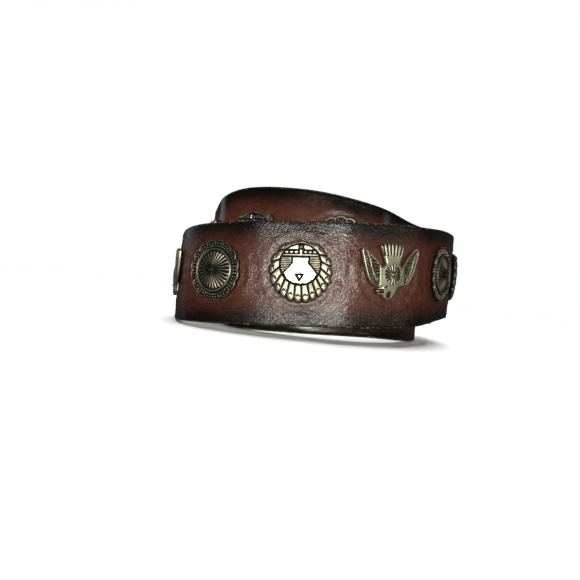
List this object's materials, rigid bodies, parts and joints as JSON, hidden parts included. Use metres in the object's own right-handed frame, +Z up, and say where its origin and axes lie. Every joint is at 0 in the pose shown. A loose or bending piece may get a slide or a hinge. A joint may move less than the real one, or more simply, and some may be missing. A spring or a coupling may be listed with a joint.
{
  "type": "studded belt",
  "caption": "Rolled-up dark brown leather belt with antiqued metal conchos in three cast designs: feathered sun, spread bird and scalloped round.",
  "frame": {"origin": "on the floor, under the middle of the whole belt", "axes": "+Z up, with the belt standing rolled up on its lower edge; -Y towards the front of the roll; +X towards the buckle, which lies at the back right"},
  "size_m": [0.1362, 0.144, 0.0567],
  "materials": {
    "leather": "semi-gloss, dark reddish brown with burnished black edges",
    "antiqued_metal": "antiqued nickel-silver colour, dark in the hollows and worn bright on the high parts"
  },
  "bodies": {
    "root": {"strap": "leather", "concho_01_round": "antiqued_metal", "concho_02_sun": "antiqued_metal", "concho_03_bird": "antiqued_metal", "concho_04_round": "antiqued_metal", "concho_05_sun": "antiqued_metal", "concho_06_bird": "antiqued_metal", "concho_07_round": "antiqued_metal", "concho_08_sun": "antiqued_metal", "concho_09_bird": "antiqued_metal", "concho_10_round": "antiqued_metal", "concho_11_sun": "antiqued_metal", "concho_12_bird": "antiqued_metal", "concho_13_sun": "antiqued_metal", "concho_14_round": "antiqued_metal", "concho_15_bird": "antiqued_metal", "concho_16_sun": "antiqued_metal", "concho_17_round": "antiqued_metal", "concho_18_bird": "antiqued_metal", "concho_19_sun": "antiqued_metal", "concho_20_round": "antiqued_metal", "concho_21_bird": "antiqued_metal", "concho_22_sun": "antiqued_metal", "concho_23_round": "antiqued_metal", "concho_24_bird": "antiqued_metal", "buckle": "antiqued_metal", "keeper": "leather", "fold_rivet_1": "antiqued_metal", "fold_rivet_2": "antiqued_metal"}
  },
  "joints": []
}
